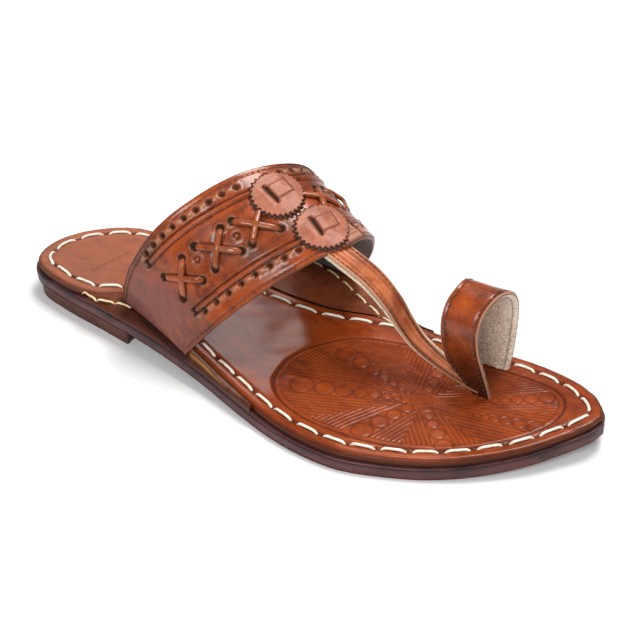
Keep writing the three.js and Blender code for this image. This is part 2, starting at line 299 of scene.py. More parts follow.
def sheet_with_rim(name, place, us, vs, thick, material, relief, radius, rim_tone,
                   closed_back=True):
    """A sheet's outer face, rounded rim and plain back; relief(u, v) gives height and tone."""
    parts = Parts()
    width = width_of(place, us)
    inset = np.minimum(radius / width, 0.2)[:, None]
    u, v = np.meshgrid(us, vs, indexing="ij")
    inner = inset + v * (1 - 2 * inset)
    height, tone = relief(u, inner) if relief else (0.0, 0.0)
    parts.grid(place(u, inner, height), tone, flip=True)
    angle = np.linspace(0, math.pi / 2, 4)
    out = np.r_[np.sin(angle), np.sin(angle[::-1])] * radius
    down = np.r_[radius * (1 - np.cos(angle)), thick - radius * (1 - np.cos(angle[::-1]))]
    for at_end in (False, True):
        share = inset - out[None, :] / width[:, None]
        share = 1 - share if at_end else share
        parts.grid(place(us[:, None], share, -down), rim_tone, flip=not at_end)
    if closed_back:
        few = shares(7)
        parts.grid(place(us[:, None], inset + few * (1 - 2 * inset), -thick))
        for end, flip in ((us[0], False), (us[-1], True)):
            cap = [place(end, 0.03 + 0.94 * few, depth) for depth in (-0.05, 0.05 - thick)]
            parts.grid(np.stack(cap), flip=flip)
    return parts.build(name, material)


def stitch_starts(total, pitch, length):
    """Where the running stitches start along a line; the pitch is fitted to the whole line."""
    count = max(1, int(round(total / pitch)))
    return np.arange(count) * (total / count) + (total / count - length) / 2


def stitch_ends(path, pitch, length):
    """Points of a path where its stitches go through the leather."""
    s = lengths(path)
    ends = np.add.outer(stitch_starts(s[-1], pitch, length), (0, length))
    return interpolated(path, s, ends.ravel())


def stitches(name, path, normals, pitch, length, radius, material, sink=0.35, jitter=0.0):
    """Running stitches as one piece: each thread rises from the leather and dives back."""
    s = lengths(path)
    parts = Parts()
    ring = np.linspace(0, 2 * math.pi, 7)[:-1]
    t = np.linspace(-1, 1, 11)
    rise = radius * 0.75 - (radius * 1.9 + sink) * np.abs(t) ** 5
    for start in stitch_starts(s[-1], pitch, length):
        start = start + RNG.normal() * jitter
        at = np.linspace(start, start + length, len(t))
        centre = interpolated(path, s, at)
        normal = unit(interpolated(normals, s, at))
        across = np.cross(normal, unit(np.gradient(centre, axis=0)))
        swing = RNG.normal() * jitter * 0.6 * t
        centre = centre + normal * rise[:, None] + across * swing[:, None]
        parts.grid(centre[:, None] + across[:, None] * (np.cos(ring) * radius)[None, :, None]
                   + normal[:, None] * (np.sin(ring) * radius * 0.8)[None, :, None],
                   wrap=True, flip=True)
    return parts.build(name, material, 80)


# ---- materials ----
class Shader:
    """Adds nodes to a material and links or sets their inputs."""

    def __init__(self, name):
        self.material = bpy.data.materials.new(name)
        self.material.use_nodes = True
        self.tree = self.material.node_tree
        self.bsdf = self.tree.nodes["Principled BSDF"]
        self.place = self.add("TexCoord").outputs["Object"]

    def add(self, kind, inputs=None, **settings):
        node = self.tree.nodes.new("ShaderNode" + kind)
        for key, value in settings.items():
            setattr(node, key, value)
        for key, value in (inputs or {}).items():
            self.put(node.inputs[key], value)
        return node

    def put(self, socket, value):
        if isinstance(value, bpy.types.NodeSocket):
            self.tree.links.new(value, socket)
        else:
            socket.default_value = value

    def noise(self, scale, detail=4.0, rough=0.55, stretch=None):
        where = self.place
        if stretch:
            where = self.add("Mapping", {"Vector": where, "Scale": stretch}).outputs[0]
        return self.add("TexNoise", {"Vector": where, "Scale": scale, "Detail": detail,
                                     "Roughness": rough}).outputs["Fac"]

    def ramp(self, value, low, high, to_low=0.0, to_high=1.0):
        return self.add("MapRange", {"Value": value, "From Min": low, "From Max": high,
                                     "To Min": to_low, "To Max": to_high}).outputs[0]

    def mix(self, share, a, b):
        """Colour a turning into b; the colour sockets of the node are 6 and 7, and 2 comes out."""
        node = self.add("Mix", data_type="RGBA")
        self.put(node.inputs[0], share)
        for socket, colour in ((6, a), (7, b)):
            linked = isinstance(colour, bpy.types.NodeSocket)
            self.put(node.inputs[socket], colour if linked else (*colour, 1.0))
        return node.outputs[2]

    def math(self, kind, a, b):
        node = self.add("Math", operation=kind)
        self.put(node.inputs[0], a)
        self.put(node.inputs[1], b)
        return node.outputs[0]

    def tone(self):
        """The piece's dark, pale and matte tones as sockets, which also carry painted shade,
        highlights and sheen.
        """
        colour = self.add("VertexColor", layer_name="tone").outputs[0]
        return self.add("SeparateColor", {"Color": colour}).outputs

    def bumps(self, layers):
        """Relief of the surface from layers of height, strength and depth in metres."""
        normal = None
        for height, strength, distance in layers:
            inputs = {"Height": height, "Strength": strength, "Distance": distance}
            if normal:
                inputs["Normal"] = normal
            normal = self.add("Bump", inputs).outputs[0]
        self.surface({"Normal": normal})

    def surface(self, inputs):
        for key, value in inputs.items():
            self.put(self.bsdf.inputs[key], value)


# colour of the dark tone: painted shade in holes, grooves and hollows, and darker leather
SHADE_AND_DARK_COLOUR = (0.03, 0.008, 0.004)


def leather(name, base, deep, light, pale=(0.55, 0.38, 0.22), rough=0.34,
            coat=0.5, grain=0.5, streak=None, gloss=0.1, specular=0.2, painted_sheen=None):
    """Waxed leather: mottling in two sizes, blots and specks, fine grain and pores.

    The tones turn it to the pale colour, for wear and painted highlights, to the painted sheen
    colour, a painted reflection, and to the dark colour, for painted shade and darker leather;
    gloss is the coat's roughness.
    """
    m = Shader(name)
    dark, wear_and_sheen, matte_and_sheen = m.tone()[:3]
    broad = m.ramp(m.noise(38, 3, 0.6, streak), 0.36, 0.66)
    small = m.ramp(m.noise(230, 5, 0.65, streak), 0.3, 0.72)
    colour = m.mix(broad, base, deep)
    colour = m.mix(m.math("MULTIPLY", small, 0.42), colour, light)
    blots = m.ramp(m.noise(105, 5, 0.7, streak), 0.5, 0.68, 0, 0.8)
    specks = m.ramp(m.noise(1300, 2, 0.6), 0.56, 0.74, 0, 0.5)
    colour = m.mix(specks, m.mix(blots, colour, deep), deep)
    # pale: wear and painted highlights; the painted sheen colour is a painted reflection; dark:
    # painted shade and darker leather
    colour = m.mix(wear_and_sheen, colour, pale)
    if painted_sheen:
        colour = m.mix(matte_and_sheen, colour, painted_sheen)
    colour = m.mix(dark, colour, SHADE_AND_DARK_COLOUR)
    polish = m.ramp(m.noise(120, 4, 0.6), 0.3, 0.75, rough - 0.07, rough + 0.12)
    polish = m.math("ADD", polish, m.math("MULTIPLY", matte_and_sheen, 0.4))
    polish = m.math("ADD", polish, m.math("MULTIPLY", dark, 0.25))
    shine = m.math("SUBTRACT", 1.0, m.math("MAXIMUM", matte_and_sheen, dark))
    m.surface({"Base Color": colour, "Roughness": polish, "Specular IOR Level": specular,
               "Coat Weight": m.math("MULTIPLY", shine, coat), "Coat Roughness": gloss})
    cells = m.add("TexVoronoi", {"Vector": m.place, "Scale": 1500}, feature="DISTANCE_TO_EDGE")
    pores = m.ramp(cells.outputs["Distance"], 0.0, 0.35)
    m.bumps([(m.noise(90, 3), 0.25 * grain, 0.0006), (m.noise(520, 4), 0.35 * grain, 0.0003),
             (pores, 0.3 * grain, 0.00012)])
    return m.material


def thread(name, colour, shade, rough=0.45):
    """Waxed thread: a fine twist across its length and slightly soiled hollows."""
    m = Shader(name)
    soil = m.ramp(m.noise(420, 4), 0.4, 0.7)
    m.surface({"Base Color": m.mix(soil, colour, shade), "Roughness": rough, "Sheen Weight": 0.15})
    twist = m.add("TexWave", {"Vector": m.place, "Scale": 620.0, "Distortion": 1.5})
    m.bumps([(twist.outputs["Fac"], 0.5, 0.0002)])
    return m.material


def nap(name, base, deep):
    """Raw flesh side of leather: matt and fibrous."""
    m = Shader(name)
    fibres = m.ramp(m.noise(700, 6, 0.8, (1, 1, 1.6)), 0.36, 0.56)
    blotch = m.ramp(m.noise(160, 4, 0.6), 0.35, 0.7)
    colour = m.mix(fibres, deep, base)
    colour = m.mix(m.math("MULTIPLY", blotch, 0.35), colour, deep)
    dark = m.tone()[0]
    m.surface({"Base Color": m.mix(dark, colour, (0.04, 0.02, 0.012)), "Roughness": 0.92,
               "Sheen Weight": 0.5})
    m.bumps([(m.noise(600, 6, 0.8), 0.9, 0.0006)])
    return m.material


def stacked_edge(name, base, deep, light, layer, rough):
    """Burnished cut edge of a leather stack, with faint lines along its layers."""
    m = Shader(name)
    dark, wear_and_sheen = m.tone()[:2]
    lines = m.noise(60, 5, 0.7, (1, 1, layer))
    colour = m.mix(m.ramp(m.noise(45, 4), 0.35, 0.65), base, deep)
    colour = m.mix(m.ramp(lines, 0.52, 0.72, 0, 0.5), colour, light)
    colour = m.mix(wear_and_sheen, colour, (0.16, 0.035, 0.02))
    colour = m.mix(dark, colour, (0.012, 0.006, 0.005))
    polish = m.ramp(m.noise(240, 4), 0.3, 0.7, rough - 0.08, rough + 0.16)
    m.surface({"Base Color": colour, "Roughness": polish, "Specular IOR Level": 0.25,
               "Coat Weight": 0.1, "Coat Roughness": 0.3})
    m.bumps([(lines, 0.35, 0.0005), (m.noise(700, 4), 0.3, 0.0002)])
    return m.material


# painted_sheen is the colour of a painted purple-grey reflection on the band's lower ends
UPPER = leather("band_leather", (0.31, 0.047, 0.005), (0.065, 0.008, 0.002), (0.56, 0.12, 0.02),
                pale=(0.66, 0.38, 0.22), rough=0.3, coat=0.6, gloss=0.16, specular=0.16,
                painted_sheen=(0.21, 0.088, 0.078))
STRAP_LEATHER = leather("strap_leather", (0.56, 0.15, 0.046), (0.2, 0.036, 0.01),
                        (0.66, 0.25, 0.11), pale=(0.62, 0.42, 0.27), rough=0.36, coat=0.15)
INSOLE = leather("insole_leather", (0.31, 0.05, 0.005), (0.13, 0.016, 0.002), (0.42, 0.08, 0.012),
                 pale=(0.46, 0.22, 0.15), rough=0.36, coat=0.5, grain=0.3, streak=(1.6, 0.7, 1),
                 gloss=0.14, specular=0.12)
DISC = leather("disc_leather", (0.38, 0.12, 0.062), (0.17, 0.038, 0.018), (0.54, 0.22, 0.14),
               pale=(0.66, 0.42, 0.3), rough=0.5, coat=0.15, grain=1.2)
EAR = leather("ear_leather", (0.22, 0.05, 0.018), (0.07, 0.016, 0.008), (0.34, 0.1, 0.034),
              pale=(0.7, 0.36, 0.1), rough=0.33, coat=0.2)
LACE = leather("lace_leather", (0.33, 0.07, 0.018), (0.15, 0.024, 0.006), (0.5, 0.16, 0.05),
               rough=0.2, coat=0.5, grain=0.3)
DARK_EDGE = stacked_edge("outsole_leather", (0.105, 0.034, 0.036), (0.03, 0.01, 0.012),
                         (0.2, 0.07, 0.066), 22, 0.42)
HEEL = stacked_edge("heel_leather", (0.10, 0.028, 0.017), (0.05, 0.015, 0.011),
                    (0.17, 0.05, 0.03), 26, 0.4)
CREAM = thread("waxed_thread", (0.9, 0.86, 0.78), (0.72, 0.58, 0.42))
GOLD = thread("gold_thread", (0.86, 0.68, 0.42), (0.6, 0.38, 0.17))
BROWN = thread("brown_thread", (0.16, 0.05, 0.02), (0.06, 0.02, 0.01), 0.6)
NAP = nap("raw_leather", (1.0, 0.86, 0.7), (0.42, 0.27, 0.18))
LINING = nap("lining_leather", (0.2, 0.15, 0.12), (0.09, 0.07, 0.06))


def fine_seam(name, place, u, v, depth, pitch, length, radius, sink):
    """Brown stitches along a line of a sheet."""
    stitches(name, place(u, v, -depth), normals_of(place, u, v), pitch, length, radius, BROWN, sink)


# ---- sole ----
def edge_steps(count, fine, size):
    """Shares from 0 to 1 with extra steps close to both ends; fine are distances in millimetres."""
    middle = np.linspace(max(fine) / size, 1 - max(fine) / size, count)
    ends = np.array(fine[:-1]) / size
    return np.r_[ends, middle, 1 - ends[::-1]]


TIP_ROWS = shares(14) ** 2


def rows_between(line, spans):
    """y of the rows of a plate: spans are (from, to, spacing), the two tips get closer rows."""
    ys = [np.arange(a, b, step) for a, b, step in spans]
    first, last = line[0, 0], line[-1, 0]
    start, end = spans[0][0], spans[-1][1]
    heel = first + (start - first) * TIP_ROWS
    toe = last - (last - end) * TIP_ROWS
    return np.unique(np.round(np.r_[heel, np.concatenate(ys), toe], 3))


def plate(name, line, spans, columns, top, bottom, material, relief, radius, side_tone,
          under=True, roll=0.0):
    """A sole layer: relief on top, a rounded upper rim, sides that roll out, a plain underside."""
    parts = Parts()
    ys = rows_between(line, spans)
    medial, lateral = edges_at(line, ys)
    x = spread(medial, lateral, edge_steps(columns, (0, 0.15, 0.45, 0.9, 1.5, 2.2), 80))
    y = ys[:, None] + np.zeros_like(x)
    near = distance_to(loop_of(line), stacked(x, y))
    near[:, [0, -1]] = 0  # the grid's own border lies on the outline
    near[[0, -1]] = 0
    drop = radius - np.sqrt(np.maximum(0, radius**2 - np.maximum(0, radius - near) ** 2))
    height, tone = relief(x, y, near) if relief else (0.0, 0.0)
    parts.grid(stacked(x, y, top(y) - drop + height), tone)
    share = shares(7)
    bulge = roll * (1 - (2 * share - 0.7) ** 2) * np.minimum(1, (lateral - medial) / 12)[:, None]
    z = spread(top(ys) - radius, bottom(ys), share)
    for edge, sign in ((medial, -1), (lateral, 1)):
        side = stacked(edge[:, None] + sign * bulge, ys[:, None], z)
        parts.grid(side, side_tone(share), flip=sign < 0)
    if under:
        x = spread(medial, lateral, shares(5))
        parts.grid(stacked(x, ys[:, None], bottom(ys)[:, None]), flip=True)
    return parts.build(name, material, 55)


# tooled medallion of the forefoot: its outline (x, y) and its rows of rings
MEDALLION = [(21.7, 138), (33, 139.8), (42, 148.5), (47.2, 163), (48.4, 180), (46.5, 198),
             (40.5, 216), (31, 232), (19, 245), (5.5, 253.4), (-5.5, 252.8), (-12.5, 246),
             (-16.2, 232), (-16.8, 214), (-15.6, 192), (-12.8, 172), (-7.5, 156), (2, 145.5),
             (12, 139.8)]
HUB = np.array([15.6, 199.3])
# outermost ring's centre x, y, its radius, and the pitch of the grooves beside the row
RING_ROWS = [(29.6, 151.5, 4.9, 1.75), (3.6, 157.6, 4.4, 1.6), (42.6, 186.5, 4.4, 1.8),
             (36, 219.5, 3.8, 1.9), (11.5, 247.6, 3.3, 1.9), (-7.4, 244.2, 3.3, 1.7),
             (-10.6, 196, 3.6, 1.8)]
RING_SHRINK = 0.84
RING_SPACE = 0.5
SMALLEST_RING = 1.0
HUB_REACH = 7


def medallion_inside(x, y):
    """Distance inwards from the medallion's outline."""
    closed = MEDALLION + MEDALLION[:3]
    dense = curve(closed, shares(400))[:-40] - HUB
    angles = np.arctan2(dense[:, 1], dense[:, 0])
    order = np.argsort(angles)
    dx, dy = x - HUB[0], y - HUB[1]
    radius = np.interp(np.arctan2(dy, dx), angles[order], np.linalg.norm(dense, axis=1)[order],
                       period=2 * math.pi)
    return (radius - np.hypot(dx, dy)) * 0.95


def medallion(x, y):
    """Depth of the tooling, in millimetres below the surface."""
    dx, dy = x - HUB[0], y - HUB[1]
    reach = np.hypot(dx, dy)
    inside = medallion_inside(x, y)
    border = 0.5 * bump(inside, 0.6) + 0.12 * bump(inside - 2.6, 0.5)
    field = smooth((inside - 1.6) / 1.0) * smooth((reach - 3) / 4)
    best = np.full(x.shape, -2.0)
    grooves, rings, clear = np.zeros_like(x), np.zeros_like(x), np.ones_like(x)
    for row_x, row_y, size, pitch in RING_ROWS:
        step = np.array([row_x, row_y]) - HUB
        length = math.hypot(*step)
        step = step / length
        ahead = dx * step[0] + dy * step[1]
        cosine = ahead / np.maximum(reach, 1e-3)
        aside = np.abs(dx * step[1] - dy * step[0])
        lead = size * (0.35 + 0.65 * np.clip(ahead / length, 0, 1)) + 0.6
        phase = (aside - lead) / pitch
        lines = bump((phase - np.round(phase)) * pitch, 0.3) * (aside > lead - 0.3)
        grooves = np.where(cosine > best, lines, grooves)
        best = np.maximum(best, cosine)
        at, r = length, size
        while at > HUB_REACH and r > SMALLEST_RING:
            away = np.hypot(dx - step[0] * at, dy - step[1] * at)
            rings = np.maximum(rings, bump(away - r, 0.42))
            rings = np.maximum(rings, -0.5 * bump(away, r * 0.7))
            clear = np.minimum(clear, smooth((away - r) / 0.8))
            following = r * RING_SHRINK
            at -= r + following + RING_SPACE
            r = following
    hub = sum(bump(reach - r, 0.4) for r in (2.2, 4.4)) * 0.7
    return border + 0.36 * grooves * field * clear + 0.3 * rings * (inside > 0.8) + 0.25 * hub


INSOLE_SEAM_INSET = 5.2
SEAM_PITCH = 12.6
SEAM_STITCH = 10.6
HEEL_CREASE = ((-5.5, 41.2), (13.0, 35.2))


def seam_loop():
    """Line of the insole's seam: its outline moved inwards and smoothed."""
    loop = loop_of(INSOLE_LINE)[:-1]
    along = unit(np.roll(loop, -2, 0) - np.roll(loop, 2, 0))
    loop = loop + np.column_stack([along[:, 1], -along[:, 0]]) * INSOLE_SEAM_INSET
    for _ in range(6):  # takes the corners out
        loop = (np.roll(loop, 1, 0) + loop + np.roll(loop, -1, 0)) / 3
    return resample(np.vstack([loop, loop[:1]]))


SEAM = seam_loop()


def insole_relief(x, y, near):
    """Height and tones of the footbed; near is the distance from its edge."""
    tooled = medallion(x, y)
    flat = stacked(x, y)
    seam = distance_to(SEAM, flat)
    holes = distance_to(stitch_ends(SEAM, SEAM_PITCH, SEAM_STITCH), flat)
    from_x, from_y = HEEL_CREASE[0]
    run_x, run_y = HEEL_CREASE[1][0] - from_x, HEEL_CREASE[1][1] - from_y
    run = ((x - from_x) * run_x + (y - from_y) * run_y) / (run_x**2 + run_y**2)
    run = np.clip(run, 0, 1)
    crease = np.hypot(x - from_x - run * run_x, y - from_y - run * run_y)
    points = stacked(x, y, 0.0)
    height = (-tooled - 0.35 * bump(seam, 1.1) - 0.5 * bump(holes, 0.8) - 0.22 * bump(crease, 0.7)
              + 0.12 * uneven(points, 26) + 0.05 * uneven(points, 9))
    # dark: painted shade in the stitch holes, the seam groove and the heel crease; the tooled lines
    # are darker leather and painted shade in their hollows; the edge is burnished darker
    dark = (0.75 * np.clip(tooled / 0.42, 0, 1) ** 1.2 + 0.85 * bump(holes, 0.95)
            + 0.25 * bump(seam, 1.0) + 0.35 * bump(crease, 0.6)
            + 0.7 * (1 - smooth((near - 0.3) / 1.6)))
    heel = smooth((72 - y) / 30)
    matte_and_sheen = 0.5 * np.maximum(heel, smooth((medallion_inside(x, y) + 1) / 3))
    return height, tones(dark, 0.36 * heel, matte_and_sheen)


def upward(line):
    """Normals straight up for the points of a line."""
    return np.zeros((len(line), 3)) + (0, 0, 1)


def make_sole():
    """Footbed with its tooling, outsole under it, and the seam around the footbed."""
    insole = plate("insole_top", INSOLE_LINE, ((11, 134, 1.1), (134, 258, 0.46)), 178, insole_top,
                   lambda y: outsole_top(y) + GAP, INSOLE, insole_relief, 2.0,
                   lambda share: tones(0.72 + 0.25 * smooth(share * 2)),
                   under=False)
    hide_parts("insole")
    outsole = plate("outsole_stack", SOLE_LINE, ((14, 262, 1.5),), 40, outsole_top, underside,
                    DARK_EDGE, None, 0.7,
                    lambda share: tones(0.7 * bump(share, 0.18), 0.9 * smooth((share - 0.7) / 0.3)),
                    roll=0.4)
    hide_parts("outsole")
    path = np.column_stack([SEAM, insole_top(SEAM[:, 1]) - 0.15])
    stitches("insole_seam", path, upward(SEAM), SEAM_PITCH, SEAM_STITCH, 0.68, CREAM,
             jitter=0.25)


def make_heel():
    """Heel block with a rounded back and straight breast, its sides darker at the top and bottom
    edges.
    """
    parts = Parts()
    ys = HEEL_BACK_Y + (HEEL_BREAST_Y - HEEL_BACK_Y) * (1 - np.cos(np.linspace(0, math.pi / 2, 60)))
    medial, lateral = edges_at(SOLE_LINE, ys)
    medial = np.maximum(medial, -lateral)
    centre = (medial + lateral) / 2
    medial, lateral = (centre + (e - centre) * HEEL_SCALE for e in (medial, lateral))
    ys = HEEL_BREAST_Y - (HEEL_BREAST_Y - ys) * HEEL_SCALE
    x = spread(medial, lateral, edge_steps(24, (0, 0.3, 0.8, 1.6), 55))
    parts.grid(stacked(x, ys[:, None], 0.0), flip=True)
    share = shares(8)
    z = HEEL_LIFT * share
    for edge, flip in ((medial, False), (lateral, True)):
        side = stacked(edge[:, None], ys[:, None], z)
        parts.grid(side, tones(0.5 * bump(1 - share, 0.12) + 0.3 * bump(share, 0.1)), flip=flip)
    parts.grid(stacked(x[-1][:, None], ys[-1], z))
    block = parts.build("heel_block", HEEL, 40)
    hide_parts("heel_lift")


# ears: side of +X, from y, to y, flank width behind and in front, as in the CAD
EARS = {"lateral": (1, 44, 140, 5, 1), "medial": (-1, 44, 182, 5, 1.5)}
EAR_FLANK_Y = 98  # where the flank starts to narrow
EAR_FLANK_RUN = 26
EAR_FLANK_MOST = 0.75  # of the ear's own width
EAR_FLAT = 0.62  # share of the columns that lie on its flat top
EAR_SEAMS = {
    "medial": [(-25, 52), (-30, 62), (-36, 76), (-41.2, 92), (-43.6, 106), (-43.2, 119.6),
               (-40.2, 130.2), (-34.2, 142.5), (-27.6, 155.4), (-22.6, 167)],
    "lateral": [(27.2, 40), (28.8, 46), (28.6, 53), (27, 59.4), (27.2, 66.3)],
}


def band_foot(u):
    """Line in plan where the band's foot, at its end u, goes into the ear."""
    rear, front = curve(BAND[:, :3], [u]), curve(BAND[:, 3:], [u])
    return resample(np.vstack([rear, front])[:, :2])


def make_ear(side):
    """Side flap beside the insole: a flat top, a flank that rounds over, capped ends and a seam."""
    sign, start, end, rear_flank, front_flank = EARS[side]
    ys = np.linspace(start, end, 150)
    edge = int(sign > 0)
    inner = edges_at(INSOLE_LINE, ys)[edge] + sign * GAP
    outer = edges_at(SOLE_LINE, ys)[edge]
    flank = rear_flank + (front_flank - rear_flank) * smooth((ys - EAR_FLANK_Y) / EAR_FLANK_RUN)
    brim = outer - sign * np.minimum(flank, EAR_FLANK_MOST * np.abs(outer - inner))
    high = insole_top(ys) - EAR_DROP
    low = outsole_top(ys) + GAP
    w = shares(34)[None]
    on_top = np.clip(w / EAR_FLAT, 0, 1)
    down = np.clip((w - EAR_FLAT) / (1 - EAR_FLAT), 0, 1)
    x = (inner[:, None] + (brim - inner)[:, None] * on_top
         + (outer - brim)[:, None] * smooth(down) ** 0.8)
    fall = 1 - np.sqrt(np.maximum(0, 1 - down**2))
    z = high[:, None] - (high - low)[:, None] * (0.35 * down + 0.65 * fall)
    y = ys[:, None] + np.zeros_like(x)
    seam = resample(curve(EAR_SEAMS[side], shares(200)))
    flat = stacked(x, y)
    near_seam = distance_to(seam, flat)
    foot = distance_to(band_foot(0 if sign > 0 else 1), flat)
    front_end = smooth((ys[:, None] - end + 16) / 15)
    points = stacked(x, y, z)
    top = 1 - smooth(down * 3)
    height = (-0.25 * bump(near_seam, 1.0) + 0.1 * uneven(points, 14)) * top
    points[..., 2] += height
    shade = (0.3 * bump(near_seam, 0.8) * top + 1.0 * bump(foot, 1.9) + 0.62 * smooth(down * 2.2)
             + 0.3 * top * front_end)
    in_front = smooth((ys[:, None] - 101) / 3) * (1 - smooth((ys[:, None] - 112) / 20))
    layered = 0.8 * (sign > 0) * bump(down - 0.3, 0.16) * in_front
    parts = Parts()
    parts.grid(points, tones(shade * (1 - layered), 0.6 * layered), flip=sign < 0)
    for row, flip in ((0, sign < 0), (-1, sign > 0)):
        share = shares(5)[:, None]
        upper = points[row][:, 2]
        parts.grid(stacked(x[row], ys[row], upper + (low[row] - upper) * share), (0.75, 0, 0),
                   flip=flip)
    piece = parts.build("ear_" + side + "_leather", EAR, 60)
    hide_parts("ear_" + side)
    path = np.column_stack([seam, insole_top(seam[:, 1]) - EAR_DROP - 0.1])
    stitches("ear_seam_" + side, path, upward(seam), 10.5, 8.6, 0.55, GOLD, jitter=0.2)


# ---- instep band ----
U = shares(1601)
MIDDLE = (curve(BAND[:, :3], U) + curve(BAND[:, 3:], U)) / 2
CROWN_U = 0.519
ARC = lengths(MIDDLE) - np.interp(CROWN_U, U, lengths(MIDDLE))
FOOT_DEPTH = 4.0


def band_place(s, v, lift):
    """Point on the band: s is the distance along it from the crown, v runs from rear to front."""
    s, v, lift = np.broadcast_arrays(np.asarray(s, float), v, lift)
    u = np.interp(s, ARC, U)
    beyond = np.maximum(0, np.maximum(ARC[0] - s, s - ARC[-1]))

    def face(at, share):
        return (curve(BAND[:, :3], at) * (1 - share)[..., None]
                + curve(BAND[:, 3:], at) * share[..., None])

    point = face(u, v) + middle_normal(face, u) * lift[..., None]
    point[..., 2] -= beyond
    return point


# distances in millimetres from the crown; the lateral half is drawn and mirrored to the medial
# places are (s, v); a row's v is given at the crown and with its fall for each millimetre of s;
# rows of holes are (first, last, pitch), ridges have the distance that they reach
CROSSES = [(54.5, 0.46), (34.0, 0.47), (15.6, 0.48)]
DOTS = [(42.8, 0.43), (24.6, 0.475)]
HOLES = [((16, 64, 6.75), (0.865, 0.0008)), ((6, 54, 5.8), (0.118, 0.0008))]
RIDGES = [((0.797, 0.0007), 66), ((0.218, 0.0013), 57)]
NOTCHES = [(66.5, 0.752), (57.0, 0.14)]
# darker patches: distance from the crown, share across, their half sizes, depth
DARK_PATCHES = [(24, 0.68, 9, 0.05, 0.4), (42, 0.69, 8, 0.045, 0.35), (62, 0.6, 4, 0.12, 0.25),
          (30, 0.29, 16, 0.04, 0.3), (8, 0.62, 5, 0.06, 0.3)]
# the two laces of a cross: half its run along the band and across it, and how far it stands out
ARMS = [(8.8, -0.125, 0.75), (-4.2, -0.135, 0.15)]
LACE_WIDTH = 2.8
BAND_SEAMS = {"front": 0.952, "rear": 0.048}


def row_v(row, s):
    """Share across the band of a row, which falls to the rear on both sides of the crown."""
    return row[0] - row[1] * np.abs(s)


def lace_lines(count):
    """For each lace: s of its cross, s and v along it, and how far it stands out."""
    t = np.linspace(-1, 1, count)
    for at_s, at_v in CROSSES:
        for side in (-1, 1):
            for run_s, run_v, over in ARMS:
                yield side * at_s, side * (at_s - t * run_s), at_v + t * run_v, over


def band_relief(s, v):
    """Height and tones of the band: ridges, seams, punched holes, laces' shadows and dark patches.
    """
    base = band_place(s, v, 0.0)
    width = width_of(band_place, s[:, :1])
    height = 0.16 * uneven(base, 22) + 0.05 * uneven(base, 7)
    dark, pale = np.zeros_like(s), np.zeros_like(s)
    away = np.abs(s)
    # painted shade in the grooves beside each ridge and in the seam grooves; a painted highlight
    # along each ridge's crest
    for row, reach in RIDGES:
        gap = (v - row_v(row, s)) * width
        on = 1 - smooth((away - reach) / 1.2)
        height += on * (0.7 * bump(gap, 0.75) - 0.5 * bump(np.abs(gap) - 1.6, 0.5))
        dark += on * 0.78 * bump(np.abs(gap) - 1.6, 0.42)
        pale += on * 0.1 * bump(gap, 0.45)
    for share in BAND_SEAMS.values():
        gap = (v - share) * width
        height -= 0.22 * bump(gap, 0.55)
        dark += 0.22 * bump(gap, 0.5)

    def spots(places, radius, depth, shade, rim):
        """Sunk or, with a depth below 0, raised spots on both halves of the band."""
        nonlocal height, dark, pale
        for at_s, at_v in places:
            for sign in (-1, 1):
                centre = band_place(sign * at_s, at_v, 0.0)
                near = np.abs(s[:, 0] - sign * at_s) < 4 * radius + 14
                d = np.linalg.norm(base[near] - centre, axis=-1)
                height[near] += (rim * bump(d - radius * 1.5, radius * 0.5)
                                 - depth * bump(d, radius))
                # painted shade inside each sunk spot and in a halo round it; painted highlights on
                # a raised rim and on the raised beads
                dark[near] += shade * (bump(d, radius * 0.92) + 0.22 * bump(d, radius * 2.4))
                pale[near] += 0.3 * (rim > 0.1) * bump(d - radius * 1.55, radius * 0.4)
                pale[near] += 0.9 * (depth < 0) * bump(d, radius * 0.9)

    for (first, last, pitch), row in HOLES:
        at = np.arange(first, last, pitch)
        spots([(a, row_v(row, a)) for a in at], 1.25, 1.1, 1.0, 0.28)
        spots([(a + pitch / 2, row_v(row, a)) for a in at], 1.2, -0.6, 0.0, 0.0)
    spots(NOTCHES, 1.5, 1.2, 1.0, 0.3)
    spots(DOTS, 1.5, 0.7, 0.9, 0.25)
    ends = [(at_s - sign * run_s, at_v + sign * run_v) for at_s, at_v in CROSSES
            for sign in (-1, 1) for run_s, run_v, _ in ARMS]
    spots(ends, 1.35, 1.1, 0.95, 0.3)
    for cross_s, lace_s, lace_v, _ in lace_lines(30):
        near = np.abs(s[:, 0] - cross_s) < 13
        gap = distance_to(band_place(lace_s, lace_v, 0.0), base[near]) - LACE_WIDTH / 2
        dark[near] += 0.6 * bump(gap, 0.55)
        height[near] -= 0.2 * bump(gap, 0.7)
    edge = np.minimum(v, 1 - v) * width
    dark += 0.3 * bump(edge, 1.0)
    for at_s, at_v, reach_s, reach_v, depth in DARK_PATCHES:
        dark += depth * bump(away - at_s, reach_s) * bump(v - at_v, reach_v)
    # painted sheen: the band's lower ends, away from the crown and towards the rear edge, get a
    # painted purple-grey reflection, a little darker and matte
    wear_and_sheen = smooth((away - 54) / 16) * smooth((0.95 - v) / 0.5)
    return height, tones(dark + 0.1 * wear_and_sheen, pale * 0.4, 0.7 * wear_and_sheen)


BAND_S = np.r_[ARC[0] - FOOT_DEPTH, np.linspace(ARC[0], ARC[-1], 440), ARC[-1] + FOOT_DEPTH]


def ribbon(parts, s, v, width, crown, lift, around=9):
    """A flattened half-round strip along a line of the band, raised by lift(t), t from 0 to 1."""
    path, normals = band_place(s, v, 0.0), normals_of(band_place, s, v)
    across = unit(np.cross(normals, unit(np.gradient(path, axis=0))))
    turn = np.linspace(-1, 1, around)
    profile = np.sqrt(np.maximum(0, 1 - np.abs(turn) ** 2.6)) * crown
    points = (path[:, None] + across[:, None] * (turn * width / 2)[None, :, None]
              + normals[:, None] * (lift(shares(len(path)))[:, None] + profile[None, :])[..., None])
    # painted shade: the strip darkens towards its flanks
    parts.grid(points, tones(np.abs(turn) ** 4 * 0.6))


